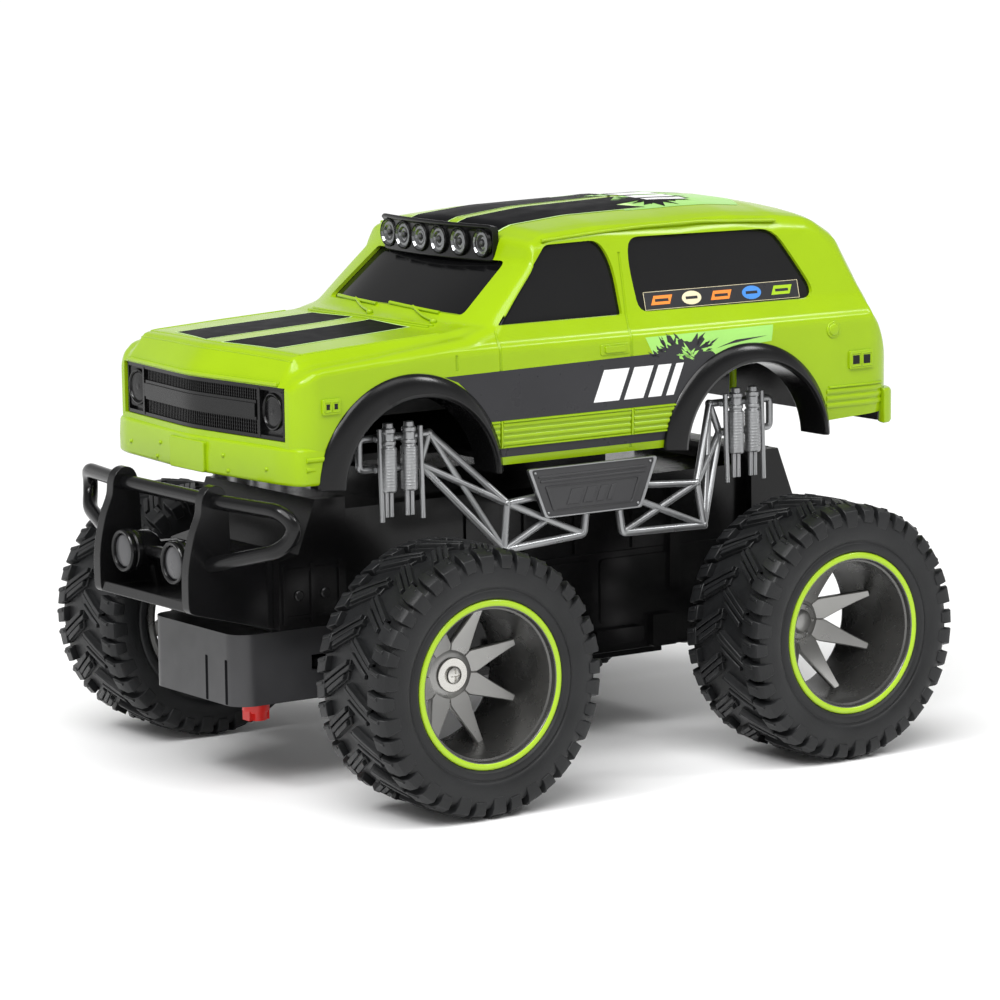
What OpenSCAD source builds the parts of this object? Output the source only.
// Monster truck toy with a one-piece body shell, truss side frames and geared rear drive.
// +X is the truck's left, -Y its front and +Z up. The origin is under the middle of its box.

/* [Wheels] */
// Distance between the front and rear axles
wheelbase = 176; // [172:1:180]
// Distance between the middles of the left and right tyres
track = 202; // [200:1:206]
// Tyre outside diameter
tyre_d = 104; // [102:1:105]
// Tyre width across the sidewalls
tyre_w = 47.5; // [45:0.5:48]
// Lugs round each side of the tread
lug_count = 18; // [14:1:20]
// Diameter where the tyre sits on the rim
bead_d = 66; // [65:0.5:67]
// Spokes in each rim
spoke_count = 8; // [6:1:9]
// Outside diameter of the coloured ring on the rim
ring_d = 65.4; // [65:0.1:65.8]

/* [Body shell] */
// Body width at its widest
body_w = 140; // [138:1:142]
// Height of the roof above the ground
roof_z = 222; // [220:1:224]
// Height of the shell's lower edge
sill_z = 126; // [125:1:128]
// Wall thickness of the shell
shell_t = 2.2; // [1.8:0.1:2.6]
// How far the tail reaches behind the middle of the wheelbase
tail_reach = 158; // [156:1:160]
// Radius of the wheel arch openings in the shell
arch_r = 38; // [37:0.5:39]

/* [Chassis] */
// Half width of the main tub
tub_x = 35; // [34:0.5:36]
// Height of the underside of the tub
tub_z = 38; // [37:0.5:39]
// Wall thickness of the black chassis mouldings
wall = 2.5; // [2:0.1:3]
// How far the front bar reaches ahead of the middle of the wheelbase
bar_reach = 169; // [167:1:171]
// Radius of the front bar's tubes
bar_r = 3.2; // [2.8:0.1:3.4]
// Radius of the side frames' tubes
truss_r = 1.7; // [1.4:0.1:1.9]

/* [Steering] */
// Distance of each kingpin from the middle plane
kingpin_x = 66; // [65:0.5:67]
// Length of the knuckle's steering arm
arm_l = 20; // [19:0.5:21]
// Radius of the kingpins
kingpin_r = 2; // [1.8:0.1:2.2]

/* [Rear drive] */
// Radius of the rear axle shaft
axle_r = 2.5; // [2.3:0.1:2.7]
// Tooth module of the axle gear and the idler's small gear
slow_m = 1; // [0.95:0.05:1]
// Tooth module of the idler's large gear and the motor's pinion
fast_m = 0.8; // [0.75:0.05:0.8]
// Teeth of the gear on the axle
axle_teeth = 32; // [30:1:32]
// Teeth of the idler's small gear
idler_small_teeth = 12; // [12:1:13]
// Teeth of the idler's large gear
idler_large_teeth = 36; // [34:1:36]
// Teeth of the motor's pinion
pinion_teeth = 12; // [12:1:13]

/* [Hidden] */
$fn = 48;
// Overlap of joined solids, radial clearance of running fits and gap between moving pieces
eps = 0.01;
run = 0.05;
gap = 0.35;

// Everything is drawn about the middle of the wheelbase, then moved by this to centre the box
centre_shift = (bar_reach - tail_reach) / 2;
axle_y = wheelbase / 2;
axle_z = tyre_d / 2;
wheel_x = track / 2;
front_arch = [-84, 121];
rear_arch = [79, 122];
lime = [0.62, 0.80, 0.08];
black = [0.10, 0.10, 0.11];
satin = [0.17, 0.17, 0.18];
gunmetal = [0.42, 0.43, 0.44];
steel = [0.75, 0.76, 0.78];
white_plastic = [0.88, 0.88, 0.85];

module shift() {
    translate([0, centre_shift, 0]) children();
}

module both_sides() {
    children();
    mirror([1, 0, 0]) children();
}

// A cylinder along X, from one x to another
module rod_x(x0, x1, r, y, z) {
    translate([x0, y, z]) rotate([0, 90, 0]) cylinder(h = x1 - x0, r = r);
}

// A many-sided bar between two points, which runs on a little at both ends to join its neighbours
module tube(a, b, r, sides = 8) {
    d = b - a;
    over = 0.35 * r;
    turn = [0, acos(d[2] / norm(d)), atan2(d[1], d[0])];
    translate(a - over * unit(d)) rotate(turn) cylinder(h = norm(d) + 2 * over, r = r, $fn = sides);
}

// A chain of such bars
module tube_path(points, r, sides = 8) {
    for (i = [0 : len(points) - 2]) tube(points[i], points[i + 1], r, sides);
}

// A box given by its lowest and highest corners
module block(lo, hi) {
    translate(lo) cube(hi - lo);
}

// An outline in Y and Z, drawn out along X
module side_plate(points, x0, x1) {
    translate([x0, 0, 0]) rotate([90, 0, 90]) linear_extrude(x1 - x0) polygon(points);
}

// An outline in X and Z, drawn out along Y
module front_plate(points, y0, y1) {
    translate([0, y1, 0]) rotate([90, 0, 0]) linear_extrude(y1 - y0) polygon(points);
}

function mirrored(half) = concat(half, [for (i = [len(half) - 1 : -1 : 0])
    if (half[i][0] > eps) [-half[i][0], half[i][1]]]);

function unit(v) = v / norm(v);
function inward(a, b) = let(d = unit(b - a)) [d[1], -d[0]];

// Moves every edge of a clockwise outline inwards by t
function inset(p, t) = [for (i = [0 : len(p) - 1])
    let(n1 = inward(p[(i + len(p) - 1) % len(p)], p[i]), n2 = inward(p[i], p[(i + 1) % len(p)]))
    p[i] + t * (n1 + n2) / (1 + n1 * n2)];

// ---------- body shell ----------

// Side outline of the cab and hood without the bumper steps, clockwise in Y and Z
core_side = [[-138, sill_z - 40], [-138, 172], [-133, 175.5], [-62, 179.5], [-47, 182.4],
    [-24.6, 204], [-21.5, 213.5], [-13, 218.5], [12, roof_z - 0.5], [40, roof_z], [75, roof_z],
    [100, roof_z - 1.8], [119, roof_z - 6.5], [130, roof_z - 12], [153.5, 178.5],
    [tail_reach - 0.5, 169], [tail_reach - 0.5, sill_z - 40]];

// Bumper steps in front of and behind the core
front_step = [[-141.5, sill_z], [-144.5, sill_z + 2], [-145.5, sill_z + 13], [-137, sill_z + 15],
    [-137, sill_z]];
front_lip = [[-137, 163.5], [-140.5, 165], [-140.5, 172], [-137, 174]];
rear_step = [[tail_reach - 1, sill_z], [tail_reach - 1, sill_z + 14.5], [tail_reach, sill_z + 13],
    [tail_reach, sill_z + 1]];

// Half outline seen from the front, in X and Z
core_front = [[0, sill_z - 40], [body_w / 2 - 2, sill_z - 40], [body_w / 2 - 2, sill_z],
    [body_w / 2 - 0.5, 140], [body_w / 2, 158], [body_w / 2 - 1.5, 172], [65.5, 181],
    [57.5, 213], [54, 217], [48, roof_z - 2], [30, roof_z - 0.6], [0, roof_z]];

// Half outline seen from above, in X and Y
core_plan = [[0, -145.5], [35, -143], [60, -139.5], [67, -135.5], [body_w / 2, -129],
    [body_w / 2, 138], [67.5, 147], [60, 154], [50, tail_reach - 0.4], [40, tail_reach],
    [0, tail_reach]];

function reversed(p) = [for (i = [len(p) - 1 : -1 : 0]) p[i]];

// The three outlines drawn out and crossed, each edge moved in by t
module body_core(t) {
    intersection() {
        side_plate(inset(core_side, t), -body_w, body_w);
        front_plate(inset(reversed(mirrored(core_front)), t), -2 * body_w, 2 * body_w);
        linear_extrude(roof_z + 10) polygon(inset(reversed(mirrored(core_plan)), t));
    }
}

module arch_cut(centre, r) {
    rod_x(-body_w, body_w, r, centre[0], centre[1]);
    for (side = [-1, 1]) {
        translate([0, centre[0] + side * (r - 10), centre[1] - 24])
            cube([2 * body_w, 20, 48 - eps], center = true);
    }
}

door_window = [[-44, 181], [-18.5, 210.5], [11, 210.5], [15.5, 206], [15.5, 181]];
quarter_window = [[21, 184], [21, 206], [26, 210.5], [95, 210.5], [100, 208], [112.5, 188],
    [112.5, 184], [109, 181], [24, 181]];

module window_cuts() {
    side_plate(door_window, -body_w, body_w);
    side_plate(quarter_window, -body_w, body_w);
    front_plate([[-46, 184.5], [46, 184.5], [43, 203], [-43, 203]], -60, -15);
    front_plate([[-47, 184], [47, 184], [41, 205], [-41, 205]], 110, tail_reach + 5);
}

// A leg inside the shell that stands on the rear tower, and the rib that ties it to the side
rear_post_at = [30, 99];
tower_z = 116;

module rear_leg(top) {
    translate([rear_post_at[0], rear_post_at[1], tower_z + 0.1]) cylinder(h = top - tower_z, r = 1.8);
}

module rear_rib() {
    block([rear_post_at[0], rear_post_at[1] - 0.8, 161], [body_w / 2, rear_post_at[1] + 0.8, 176]);
}

module body_shell() {
    color(lime) shift() difference() {
        union() {
            intersection() {
                body_core(0);
                block([-body_w, -200, sill_z], [body_w, 200, roof_z + 5]);
            }
            intersection() {
                union() {
                    side_plate(front_step, -body_w, body_w);
                    side_plate(front_lip, -body_w, body_w);
                    side_plate(rear_step, -body_w, body_w);
                }
                linear_extrude(roof_z) polygon(reversed(mirrored(core_plan)));
            }
            both_sides() rear_leg(sill_z + 1);
        }
        difference() {
            body_core(shell_t);
            both_sides() rear_leg(sill_z + 50);
            both_sides() rear_rib();
        }
        arch_cut(front_arch, arch_r);
        arch_cut(rear_arch, arch_r);
        window_cuts();
        block([-60.8, -150, 142.5], [60.8, -130, 163.2]);
    }
}

// The dark moulding inside the cab that shows through every window
module window_liner() {
    color(black) shift() intersection() {
        difference() {
            body_core(shell_t + 0.1);
            body_core(shell_t + 1.7);
        }
        block([-body_w, -46, 177], [body_w, 200, roof_z]);
    }
}

// The black pan that closes the shell from below and carries its four bosses
pan_posts = [[22, -60], [22, 26]];

module body_pan() {
    hw = body_w / 2 - shell_t - 2.2;
    color(black) shift() difference() {
        union() {
            block([-hw + 3, -133, sill_z + 1], [hw - 3, 38, sill_z + 3.5]);
            both_sides() for (p = pan_posts) translate([p[0], p[1], saddle_z + 0.1])
                cylinder(h = sill_z + 2 - saddle_z, r = 5);
            both_sides() block([hw - 3 - eps, -40, sill_z + 1], [hw, 34, sill_z + 3.5]);
        }
        both_sides() block([28, front_arch[0] - arch_r - 1, 120],
            [body_w, front_arch[0] + arch_r + 1, 140]);
        both_sides() for (p = pan_posts) translate([p[0], p[1], 105]) cylinder(h = 22, r = 1.55);
    }
}

module grille_insert() {
    color(black) shift() difference() {
        union() {
            block([-60.3, -137.5, 143], [60.3, -134.5, 162.7]);
            for (z = [143, 152, 160.9]) block([-60.3, -138.8, z], [60.3, -137.5 + eps, z + 1.8]);
            both_sides() block([43, -138.6, 144.8 - eps], [60.3, -137.5 + eps, 161 + eps]);
        }
        both_sides() rod_y(-145, -136.5, 6.4, 51.5, 153);
    }
}

// A cylinder along Y, from one y to another
module rod_y(y0, y1, r, x, z) {
    translate([x, y1, z]) rotate([90, 0, 0]) cylinder(h = y1 - y0, r = r);
}

module headlight_lenses() {
    color([0.5, 0.5, 0.52]) shift() both_sides() rod_y(-139, -136.5, 6.2, 51.5, 153);
}

module fender_flare(c) {
    color(black) shift() intersection() {
        difference() {
            union() {
                rod_x(54, 73.5, arch_r - 0.2, c[0], c[1]);
                rod_x(body_w / 2 + 0.2, 73.5, arch_r + 5.2, c[0], c[1]);
            }
            rod_x(50, 80, arch_r - 3.4, c[0], c[1]);
        }
        block([50, c[0] - 60, sill_z - 3], [80, c[0] + 60, 180]);
    }
}

// The bar bows forward between its ends
bar_half = 39.7;
bar_front = -33;
bar_bow = 7.5;
bar_radius = (bar_half * bar_half + bar_bow * bar_bow) / (2 * bar_bow);
lamp_pitch = 13.4;
lamp_r = 5.6;

function lamp_y(x) = bar_front + x * x / (2 * bar_radius);

module light_bar_housing() {
    profile = [[bar_front - 1, 202.6], [-28.6, 202.4], [-25.2, 204.8], [-22.2, 213.6],
        [-21.6, 216.4], [bar_front - 1, 216.8]];
    color(black) shift() difference() {
        intersection() {
            side_plate(reversed(profile), -bar_half, bar_half);
            translate([0, bar_front + bar_radius, 190]) cylinder(h = 40, r = bar_radius, $fn = 180);
        }
        for (i = [-2.5 : 1 : 2.5])
            rod_y(-40, lamp_y(i * lamp_pitch) + 1.6, lamp_r + 0.1, i * lamp_pitch, 209.7);
    }
}

module light_bar_lenses() {
    color([0.8, 0.82, 0.84]) shift() for (i = [-2.5 : 1 : 2.5]) {
        y = lamp_y(i * lamp_pitch);
        rod_y(y + 0.1, y + 1.6, lamp_r, i * lamp_pitch, 209.7);
    }
}

// ---------- front bar ----------

bar_profile = [[-131, 66], [-150, 71], [-bar_reach + 0.5, 76], [-bar_reach, 80], [-bar_reach, 93],
    [-166, 106], [-160.5, 117.5], [-155, 124.5], [-152.5, 124.5], [-149.5, 115], [-149.5, 96],
    [-146, 93.5], [-131, 93]];

module bull_bar() {
    hoop = [[34, -156, 118.5], [71, -150, 118.5], [76.5, -146.5, 112], [71, -150.5, 104.5],
        [34, -159, 97.5]];
    color(black) shift() difference() {
        union() {
            both_sides() side_plate(bar_profile, 31.6, 36.6);
            both_sides() tube_path(hoop, bar_r, 12);
            tube([-34, -156, 118.5], [34, -156, 118.5], bar_r, 12);
            tube([-34, -160, 88], [34, -160, 88], 2.2);
            block([-32, -bar_reach + 2, 76], [32, -133, 78.5]);
            both_sides() rod_y(-166, -150, 8, 19.2, 93.5);
        }
        both_sides() rod_y(-170, -164, 6.4, 19.2, 93.5);
    }
}

module fog_lamp_lenses() {
    color([0.45, 0.45, 0.47]) shift() both_sides() rod_y(-165.4, -164, 6.2, 19.2, 93.5);
}

// ---------- chassis ----------

link_y = -axle_y - arm_l;
link_z = 48.4;
servo_y = link_y - 16;
housing_front = -146;
housing_back = -100.2;
housing_z = 36;
trim_at = [17, -128];

// A plan outline with round front corners, drawn up from z0 to z1
module front_box(x, y0, y1, r, z0, z1) {
    translate([0, 0, z0]) linear_extrude(z1 - z0) {
        translate([-x, y0 + r]) square([2 * x, y1 - y0 - r]);
        translate([-x + r, y0]) square([2 * x - 2 * r, r + eps]);
        for (s = [-1, 1]) translate([s * (x - r), y0 + r]) circle(r = r);
    }
}

module steering_housing() {
    color(satin) shift() difference() {
        front_box(33.5, housing_front, housing_back, 8.5, housing_z, 64.4);
        front_box(31, housing_front + wall, housing_back + 5, 6, housing_z + wall, 62);
        both_sides() block([28, link_y - 4, link_z - 1], [40, link_y + 4, link_z + 5]);
        translate([trim_at[0], trim_at[1], 30]) cylinder(h = 12, r = 2 + run);
        for (x = [9.5, 24.2]) block([x, housing_front - 1, 41], [x + 1.4, housing_front + 1.2, 54]);
    }
}

// Cut for the battery bay, and the gearbox and axle tubes
module tub_cuts() {
    block([-24, -31, 30], [24, 31, 60]);
    block([-10, 66, 30], [17, 109, 60]);
    both_sides() rod_x(30, 40, 6.2, axle_y, axle_z);
    both_sides() block([30, axle_y - 6.2, 30], [40, axle_y + 6.2, axle_z]);
    block([-3.2, -64, 30], [3.2, -54, 45]);
}

module chassis_tub() {
    color(black) shift() difference() {
        union() {
            difference() {
                block([-tub_x, -100, tub_z], [tub_x, 112, 79.8]);
                block([-tub_x + wall, -100 + wall, tub_z + wall], [tub_x - wall, 112 - wall, 85]);
            }
            both_sides() block([24, -33, tub_z], [26, 33, 73]);
            for (y = [-33, 31]) block([-25, y, tub_z], [25, y + 2, 73]);
            both_sides() block([27, -31, tub_z - 3.6], [29, 62, tub_z + eps]);
            both_sides() block([24.6, -31, tub_z - 3.6], [27 + eps, 62, tub_z - 2.8]);
        }
        tub_cuts();
        both_sides() for (p = tub_screws) translate([p[0], p[1], tub_z - 1]) cylinder(h = 6, r = 1.6);
    }
}

tub_screws = [[28, -72], [28, -48], [28, 104]];

// Side outline of the deck and its two towers
cover_side = [[-131, 64.6], [-131, 93], [-122, 95], [-114, 116], [-102, 116], [-97, 110],
    [97, 110], [102, 116], [114, 116], [122, 95], [131, 93], [131, 80], [-100.1, 80],
    [-100.1, 64.6]];
cover_core = [[-128.5, 67.1], [-128.5, 91], [-120.5, 93.4], [-112.5, 113.5], [-103, 113.5],
    [-98, 107.5], [98, 107.5], [103, 113.5], [112.5, 113.5], [120.5, 93.4], [128.5, 91],
    [128.5, 70], [-102.4, 70], [-102.4, 67.1]];

// The raised saddle that carries the body, and the pegs that hold each side frame
saddle_x = 29;
saddle_z = 121;
peg_y = 10;
peg_r = 2;

module chassis_cover() {
    color(black) shift() difference() {
        union() {
            difference() {
                union() {
                    side_plate(cover_side, -tub_x, tub_x);
                    side_plate([[-131, 66], [-131, 93], [-122, 95], [-114, 115.9], [-100.1, 115.9],
                        [-100.1, 66]], -41, 41);
                    side_plate([[100, 80], [100, 115.9], [114, 115.9], [122, 95], [131, 93],
                        [131, 80]], -41, 41);
                }
                side_plate(cover_core, -tub_x + wall, tub_x - wall);
            }
            block([-saddle_x, -72, 108], [saddle_x, 34, saddle_z]);
            both_sides() block([tub_x - 1, -20, 104], [68, 20, 108]);
            both_sides() block([60, -18, 107.2], [69, 18, 118.6]);
        }
        block([-saddle_x + wall, -72 + wall, 100], [saddle_x - wall, 34 - wall, saddle_z - wall]);
        both_sides() for (y = [-peg_y, peg_y]) rod_x(61.5, 75, peg_r + run, y, 113);
        both_sides() for (p = pan_posts) translate([p[0], p[1], 100]) cylinder(h = 30, r = 1.6);
    }
}

// ---------- side frames, step plates and dummy shocks ----------

// Corners of the truss on the rear half of the left side, as [x, distance from the middle, z]
t_top = [57, 69, 140];
t_mid = [57, 74, 128];
t_bottom = [74, 49, 94.5];
t_elbow = [72, 45, 112];
t_plate_top = [71, 29, 121];
t_plate_low = [71, 21, 105];
t_drop = [71, 8, 97];
t_hoop_top = [56.5, 101, 140];
t_hoop_low = [56.5, 101, 128];

module truss_half(dir) {
    function at(p) = [p[0], p[1] * dir, p[2]];
    tube_path([at(t_drop), at(t_bottom), at(t_mid), at(t_hoop_low), at(t_hoop_top), at(t_top)],
        truss_r);
    tube_path([at(t_top), at(t_elbow), at(t_plate_top)], truss_r);
    tube(at(t_top), at(t_mid), truss_r);
    tube(at(t_mid), at(t_elbow), truss_r * 0.8);
    tube(at(t_elbow), at(t_bottom), truss_r);
    tube(at(t_elbow), at(t_drop), truss_r);
    tube(at(t_plate_low), at(t_bottom), truss_r);
    tube_path([at(t_plate_low), at(t_drop)], truss_r);
    tube([71, dir * peg_y, 105], [71, dir * peg_y, 121], truss_r);
    rod_x(62, 71, peg_r, dir * peg_y, 113);
}

module side_frame() {
    color(gunmetal) shift() {
        truss_half(1);
        truss_half(-1);
        tube(t_plate_top, [t_plate_top[0], -t_plate_top[1], t_plate_top[2]], truss_r);
        tube(t_plate_low, [t_plate_low[0], -t_plate_low[1], t_plate_low[2]], truss_r);
    }
}

plate_x = 74.8;

module step_plate() {
    outline = [[-31.5, 123], [31.5, 123], [23.5, 103], [-23.5, 103]];
    color(satin) shift() {
        side_plate(reversed(outline), plate_x - 1.5, plate_x);
        for (s = [-1, 1]) for (z = [104.6, 121.4]) for (y = [0.72, 0.93])
            rod_x(plate_x - eps, plate_x + 0.6, 0.9, s * y * (23.5 + (z - 103) * 0.4), z);
        side_plate([[-24, 112], [-21.5, 106.5], [21.5, 106.5], [24, 112]], plate_x - eps,
            plate_x + 0.6);
    }
}

module dummy_shock() {
    translate([0, 0, 120]) cylinder(h = 25, r = 3.1);
    translate([0, 0, 143]) cylinder(h = 4, r = 3.8);
    translate([0, 0, 118.5]) cylinder(h = 3, r = 3.5);
    for (y = [-1.7, 1.7]) translate([0, y, 110]) cylinder(h = 10, r = 1);
    translate([0, 0, 130]) cylinder(h = 1.4, r = 3.5);
}

module dummy_shocks(dir) {
    color(gunmetal) shift() {
        for (y = [81, 90.5]) translate([62.5, dir * y, 0]) dummy_shock();
        for (y = [75, 96.5]) translate([61.5, dir * y, 108]) cylinder(h = 36, r = 1.1);
        for (z = [126.6, 138.6]) block([59.3, min(dir * 74, dir * 97.5), z],
            [62.5, max(dir * 74, dir * 97.5), z + 2.8]);
    }
}

// ---------- front axle and steering ----------

beam_x = kingpin_x - 8;

module front_axle_beam() {
    color(black) shift() difference() {
        union() {
            block([-beam_x, -axle_y - 6, 31.5], [beam_x, -axle_y + 6, tub_z - 0.1]);
            both_sides() block([beam_x - 5, -axle_y - 6, 31.5], [beam_x, -axle_y + 6, 66]);
            both_sides() for (z = [[31.5, 41.5], [62.5, 66]]) {
                block([beam_x - eps, -axle_y - 6, z[0]], [kingpin_x, -axle_y + 6, z[1]]);
                translate([kingpin_x, -axle_y, z[0]]) cylinder(h = z[1] - z[0], r = 6);
            }
        }
        both_sides() translate([kingpin_x, -axle_y, 38]) cylinder(h = 40, r = kingpin_r + run);
    }
}

module kingpins() {
    color(steel) shift() both_sides() translate([kingpin_x, -axle_y, 38]) {
        cylinder(h = 28.4, r = kingpin_r);
        translate([0, 0, 28.1]) cylinder(h = 1.4, r = 3.4);
    }
}

hub_face = 95.6;
stub_r = 3;

module knuckle() {
    color(black) shift() difference() {
        union() {
            translate([kingpin_x, -axle_y, 41.5 + gap]) cylinder(h = 21 - 2 * gap, r = 5.4);
            rod_x(kingpin_x, 76, 5, -axle_y, axle_z);
            rod_x(kingpin_x + 4, hub_face + gap - 0.05, stub_r, -axle_y, axle_z);
            block([kingpin_x - 3, link_y - 3.5, 43.6], [kingpin_x + 3, -axle_y, 47.8]);
            translate([kingpin_x, link_y - 3.5, 43.6]) cylinder(h = 4.2, r = 3);
        }
        translate([kingpin_x, -axle_y, 30]) cylinder(h = 45, r = kingpin_r + run);
        hull() for (y = [-1.2, 1.2]) translate([kingpin_x, link_y + y, 40])
            cylinder(h = 12, r = 1.5 + gap, $fn = 32);
        rod_x(hub_face - 12, hub_face + 2, 1.45, -axle_y, axle_z);
    }
}

module steering_link() {
    color(black) shift() difference() {
        union() {
            block([-kingpin_x - 3, link_y - 2.5, link_z], [kingpin_x + 3, link_y + 2.5, link_z + 3.6]);
            block([-8, link_y - 6, link_z], [8, link_y + 6, link_z + 3.6]);
            both_sides() translate([kingpin_x, link_y, link_z - 4.4]) cylinder(h = 5, r = 1.5);
        }
        hull() for (y = [-1.4, 1.4]) translate([0, link_y + y, 40])
            cylinder(h = 20, r = 1.5 + gap, $fn = 32);
    }
}

module steering_servo() {
    color(satin) shift() difference() {
        union() {
            block([-12, servo_y - 12, housing_z + wall], [12, servo_y + 8, 50.8]);
            block([-16, servo_y - 7, 45], [16, servo_y + 3, 46.8]);
            translate([0, servo_y, 50]) cylinder(h = 2.2, r = 4.5);
        }
        translate([0, servo_y, 45]) cylinder(h = 10, r = 1.5 + run);
    }
}

module servo_arm() {
    color(white_plastic) shift() {
        translate([0, servo_y, 45.5]) cylinder(h = 8, r = 1.5);
        translate([0, servo_y, 52.6]) cylinder(h = 3.6, r = 4.4);
        block([-2.4, servo_y, 52.8], [2.4, link_y, 55.6]);
        translate([0, link_y, 52.8]) cylinder(h = 2.8, r = 2.4);
        translate([0, link_y, link_z - 0.5]) cylinder(h = 5, r = 1.5);
    }
}

module steering_trim_knob() {
    color([0.85, 0.10, 0.07]) shift() translate([trim_at[0], trim_at[1], 0]) {
        translate([0, 0, 31]) cylinder(h = housing_z - 0.35 - 31, r = 5.4);
        translate([0, 0, 34]) cylinder(h = 6, r = 2);
        translate([-2.6, -4.6, 27.2]) cube([5.2, 9.2, 4]);
        difference() {
            translate([0, 0, 27.2]) cylinder(h = 4, r = 4.6);
            translate([-6, -6, 26]) cube([12, 3.4, 4.2]);
            translate([-6, 2.6, 26]) cube([12, 3.4, 4.2]);
        }
    }
}

// ---------- rear drive ----------

pressure = 25;
mesh_play = 0.15;
idler_up = 35;
pinion_up = 20;
slow_centres = slow_m * (axle_teeth + idler_small_teeth) / 2 + mesh_play;
fast_centres = fast_m * (pinion_teeth + idler_large_teeth) / 2 + mesh_play;
idler_at = [axle_y - slow_centres * cos(idler_up), axle_z + slow_centres * sin(idler_up)];
pinion_at = [idler_at[0] - fast_centres * cos(pinion_up), idler_at[1] + fast_centres * sin(pinion_up)];

function involute_turn(base, r) = let(a = acos(min(1, base / r))) tan(a) * 180 / PI - a;

// Half the angle that a tooth takes at radius r
function tooth_half(teeth, m, r) =
    let(pitch = m * teeth / 2, base = pitch * cos(pressure), at = max(r, base))
    90 / teeth - 4.5 / pitch + involute_turn(base, pitch) - involute_turn(base, at);

function polar(r, a) = [r * cos(a), r * sin(a)];

function gear_outline(teeth, m, phase) =
    let(pitch = m * teeth / 2, root = pitch - 1.25 * m, tip = pitch + 0.92 * m,
        base = pitch * cos(pressure), radii = [root, max(root + 0.1, base), pitch, tip])
    [for (k = [0 : teeth - 1], side = [-1, 1], i = [0 : 3])
        let(r = radii[side < 0 ? i : 3 - i])
        polar(r, phase + 360 * k / teeth + side * tooth_half(teeth, m, r))];

// A gear that turns about X; phase is where a tooth's middle lies, from +Y towards +Z
module gear_x(teeth, m, phase, at, x0, x1) {
    translate([x0, at[0], at[1]]) rotate([90, 0, 90]) linear_extrude(x1 - x0)
        polygon(gear_outline(teeth, m, phase));
}

to_idler = 180 - idler_up;
to_pinion = 180 - pinion_up;

module axle_gear() {
    color(white_plastic) shift() difference() {
        union() {
            gear_x(axle_teeth, slow_m, to_idler, [axle_y, axle_z], 4, 10);
            rod_x(-3, 10.4, 6, axle_y, axle_z);
        }
        rod_x(-10, 20, axle_r, axle_y, axle_z);
    }
}

module idler_gear() {
    small_phase = to_idler + 180 + 180 / idler_small_teeth;
    color(white_plastic) shift() difference() {
        union() {
            gear_x(idler_small_teeth, slow_m, small_phase, idler_at, 1.9, 10.4);
            gear_x(idler_large_teeth, fast_m, to_pinion, idler_at, -3, 2);
        }
        rod_x(-10, 20, 1.5 + run, idler_at[0], idler_at[1]);
    }
}

module motor_pinion() {
    phase = to_pinion + 180 + 180 / pinion_teeth;
    color([0.80, 0.66, 0.32]) shift() {
        gear_x(pinion_teeth, fast_m, phase, pinion_at, -3, 2.2);
        rod_x(-12, 2.6, 1, pinion_at[0], pinion_at[1]);
    }
}

module case_rooms(extra, x0, x1) {
    rod_x(x0, x1, 17.6 + extra, axle_y, axle_z);
    rod_x(x0, x1, 16 + extra, idler_at[0], idler_at[1]);
    rod_x(x0, x1, 6.6 + extra, pinion_at[0], pinion_at[1]);
}

module gearbox_case() {
    color(satin) shift() difference() {
        union() {
            difference() {
                case_rooms(2, -5.8, 11);
                case_rooms(0, -3.6, 12);
            }
            rod_x(-68, -3.6 - gap, 6, axle_y, axle_z);
            rod_x(-5.8, 11, 1.5, idler_at[0], idler_at[1]);
        }
        rod_x(-70, 20, axle_r + run, axle_y, axle_z);
        rod_x(-10, 0, 3.2, pinion_at[0], pinion_at[1]);
    }
}

module gearbox_cover() {
    color(satin) shift() difference() {
        union() {
            case_rooms(2, 11.05, 13);
            rod_x(12, 68, 6, axle_y, axle_z);
        }
        rod_x(0, 70, axle_r + run, axle_y, axle_z);
    }
}

module drive_motor() {
    color(steel) shift() difference() {
        union() {
            rod_x(-31.5, -6.2, 11.5, pinion_at[0], pinion_at[1]);
            rod_x(-7, -4.6, 3, pinion_at[0], pinion_at[1]);
        }
        rod_x(-14, 0, 1 + run, pinion_at[0], pinion_at[1]);
    }
}

rear_hub_face = 88;

module rear_axle() {
    color(steel) shift() rod_x(-rear_hub_face + 2, rear_hub_face - 2, axle_r, axle_y, axle_z);
}

// ---------- electrics ----------

module battery_pack() {
    color([0.20, 0.30, 0.62]) shift() {
        for (x = [-14.2, 0, 14.2]) for (z = [tub_z + 7.6, tub_z + 21.8])
            translate([x, 26, z]) rotate([90, 0, 0]) cylinder(h = 52, r = 7.25);
        block([-14.2, -25, tub_z + 4], [14.2, 25, tub_z + 25]);
    }
}

module battery_door() {
    color(satin) shift() {
        block([-26.6, -30.5, tub_z - 2.4], [26.6, 30.5, tub_z - 0.4]);
        for (y = [-24, -20, -16]) block([-12, y, tub_z - 3.2], [12, y + 1.4, tub_z - 2.4 + eps]);
    }
}

module circuit_board() {
    color([0.05, 0.35, 0.16]) shift() {
        block([-26, -32, 73.05], [26, 24, 74.65]);
        block([-8, -20, 74.6], [4, -8, 76.4]);
        block([-22, 6, 74.6], [-10, 20, 80]);
        translate([14, -20, 74.6]) cylinder(h = 9, r = 4);
        translate([14, -8, 74.6]) cylinder(h = 7, r = 3);
        block([6, 8, 74.6], [22, 20, 78]);
    }
}

module power_switch() {
    color(black) shift() {
        block([-2.8, -63.6, tub_z - 1.6], [2.8, -58.6, tub_z + wall + 0.4]);
        block([-6, -66.5, tub_z + wall + gap], [6, -55.7, tub_z + wall + 1.6]);
    }
}

// ---------- wheels, drawn at the left side with the outer face towards +X ----------

tyre_r = tyre_d / 2;
half_w = tyre_w / 2;
spoke_tip = -1;
hub_r = 8;
bead_r = bead_d / 2;

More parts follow.
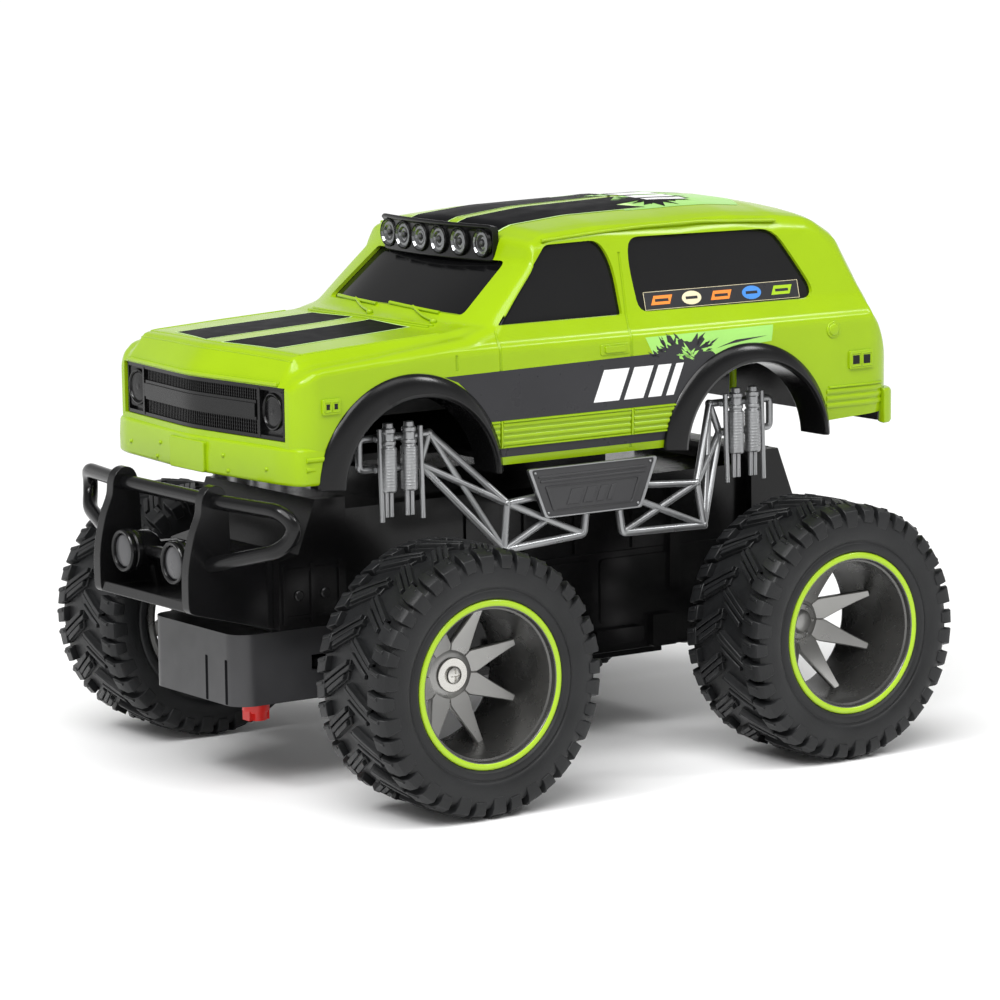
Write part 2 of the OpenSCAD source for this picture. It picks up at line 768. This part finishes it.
module place_wheel(y) {
    shift() translate([wheel_x, y, axle_z]) children();
}

module spin_x(points) {
    rotate([0, 90, 0]) rotate_extrude($fn = 96) polygon(points);
}

module lug(angle, side) {
    rotate([angle, 0, 0]) translate([side * 11, 0, tyre_r - 4]) rotate([0, 0, side * 28])
        cube([26, 8.5, 9], center = true);
    rotate([angle + 5, 0, 0]) translate([side * (half_w - 3.5), 0, tyre_r - 9])
        cube([6.2, 6.5, 14], center = true);
}

module tyre() {
    carcass = [[bead_r, -half_w + 4], [bead_r + 4, -half_w + 1.2], [bead_r + 9, -half_w],
        [tyre_r - 6, -half_w + 1], [tyre_r - 3.6, -half_w + 5], [tyre_r - 3.2, 0],
        [tyre_r - 3.6, half_w - 5], [tyre_r - 6, half_w - 1], [bead_r + 9, half_w],
        [bead_r + 4, half_w - 1.2], [bead_r, half_w - 4], [bead_r, half_w - 7],
        [bead_r + 6, half_w - 5], [tyre_r - 8, half_w - 6], [tyre_r - 8, -half_w + 6],
        [bead_r + 6, -half_w + 5], [bead_r, -half_w + 7]];
    color(black) intersection() {
        union() {
            spin_x(carcass);
            for (i = [0 : lug_count - 1]) {
                lug(180 + 360 * i / lug_count, 1);
                lug(180 + 360 * (i + 0.5) / lug_count, -1);
            }
        }
        difference() {
            rod_x(-half_w, half_w, tyre_r, 0, 0);
            rod_x(-60, 60, bead_r, 0, 0);
        }
    }
}

// Rim with a deep dish; the hub's outer face lies at face, measured from the wheel's middle
module rim(face, bore_r) {
    lip = half_w - 4;
    color(gunmetal) difference() {
        union() {
            spin_x([[bead_r, -lip], [bead_r, lip], [bead_r - 3, lip], [bead_r - 4.4, -6],
                [bead_r - 3, -lip]]);
            rod_x(-21, face, hub_r, 0, 0);
            for (i = [0 : spoke_count - 1]) rotate([20 + 360 * i / spoke_count, 0, 0])
                spoke(face);
        }
        rod_x(-30, 30, bore_r, 0, 0);
        rod_x(face, 30, hub_r, 0, 0);
    }
}

// One blade, wide at the hub and narrow where it meets the barrel at spoke_tip
module spoke(face) {
    reach = bead_r - 3.4;
    outline = [[0, -5.6], [reach + 3, -1.2], [reach + 3, 1.2], [0, 5.6]];
    intersection() {
        translate([face - 4, 0, 0]) rotate([0, 0, -atan((spoke_tip - face) / reach)])
            rotate([90, 0, 90]) linear_extrude(3.4) polygon(outline);
        rod_x(-30, 30, bead_r - 2.8, 0, 0);
    }
}

module rim_ring() {
    lip = half_w - 4;
    color(lime) spin_x([[bead_r - 3, lip], [ring_d / 2, lip], [ring_d / 2, lip + 1.8],
        [ring_d / 2 - 2.7, lip + 1.8]]);
}

module wheel_screw() {
    color(steel) shift() {
        difference() {
            union() {
                rod_x(hub_face + 0.35, hub_face + 1.5, 6.75, -axle_y, axle_z);
                rod_x(hub_face - 10, hub_face + 3.6, 1.4, -axle_y, axle_z);
                rod_x(hub_face + 1.4, hub_face + 3.6, 3.5, -axle_y, axle_z);
            }
            for (a = [0, 90]) translate([hub_face + 3.6, -axle_y, axle_z]) rotate([a, 0, 0])
                cube([2, 4.4, 0.9], center = true);
        }
    }
}

module rear_hub_caps() {
    color(gunmetal) shift() both_sides() {
        rod_x(rear_hub_face + eps, rear_hub_face + 3, 7.6, axle_y, axle_z);
        rod_x(rear_hub_face + 3 - eps, rear_hub_face + 4.4, 5, axle_y, axle_z);
    }
}

module screw_up(p, z, h) {
    translate([p[0], p[1], z]) cylinder(h = 2, r = 2.8);
    translate([p[0], p[1], z]) cylinder(h = h, r = 1.5);
}

module body_screws() {
    color(steel) shift() both_sides() for (p = pan_posts) screw_up(p, saddle_z - wall - 2.1, 9);
}

module chassis_screws() {
    color(steel) shift() both_sides() for (p = tub_screws) screw_up(p, tub_z - 2.1, 9);
}

module front_rim() {
    rim(hub_face - wheel_x, stub_r + run);
}

module rear_rim() {
    rim(rear_hub_face - wheel_x, axle_r);
}

front = -axle_y;

body_shell();
window_liner();
body_pan();
grille_insert();
headlight_lenses();
fender_flare(front_arch);  // fender_flare_front_left
mirror([1, 0, 0]) fender_flare(front_arch);  // fender_flare_front_right
fender_flare(rear_arch);  // fender_flare_rear_left
mirror([1, 0, 0]) fender_flare(rear_arch);  // fender_flare_rear_right
light_bar_housing();
light_bar_lenses();
bull_bar();
fog_lamp_lenses();
steering_housing();
chassis_tub();
chassis_cover();
side_frame();  // side_frame_left
mirror([1, 0, 0]) side_frame();  // side_frame_right
step_plate();  // step_plate_left
mirror([1, 0, 0]) step_plate();  // step_plate_right
dummy_shocks(-1);  // dummy_shocks_front_left
mirror([1, 0, 0]) dummy_shocks(-1);  // dummy_shocks_front_right
dummy_shocks(1);  // dummy_shocks_rear_left
mirror([1, 0, 0]) dummy_shocks(1);  // dummy_shocks_rear_right
front_axle_beam();
kingpins();
knuckle();  // knuckle_left
mirror([1, 0, 0]) knuckle();  // knuckle_right
steering_link();
steering_servo();
servo_arm();
steering_trim_knob();
gearbox_case();
gearbox_cover();
drive_motor();
motor_pinion();
idler_gear();
axle_gear();
rear_axle();
battery_pack();
battery_door();
circuit_board();
power_switch();
place_wheel(front) tyre();  // tyre_front_left
mirror([1, 0, 0]) place_wheel(front) tyre();  // tyre_front_right
place_wheel(axle_y) tyre();  // tyre_rear_left
mirror([1, 0, 0]) place_wheel(axle_y) tyre();  // tyre_rear_right
place_wheel(front) front_rim();  // rim_front_left
mirror([1, 0, 0]) place_wheel(front) front_rim();  // rim_front_right
place_wheel(axle_y) rear_rim();  // rim_rear_left
mirror([1, 0, 0]) place_wheel(axle_y) rear_rim();  // rim_rear_right
place_wheel(front) rim_ring();  // rim_ring_front_left
mirror([1, 0, 0]) place_wheel(front) rim_ring();  // rim_ring_front_right
both_sides() place_wheel(axle_y) rim_ring();  // rim_rings_rear
wheel_screw();  // wheel_screw_left
mirror([1, 0, 0]) wheel_screw();  // wheel_screw_right
rear_hub_caps();
body_screws();
chassis_screws();
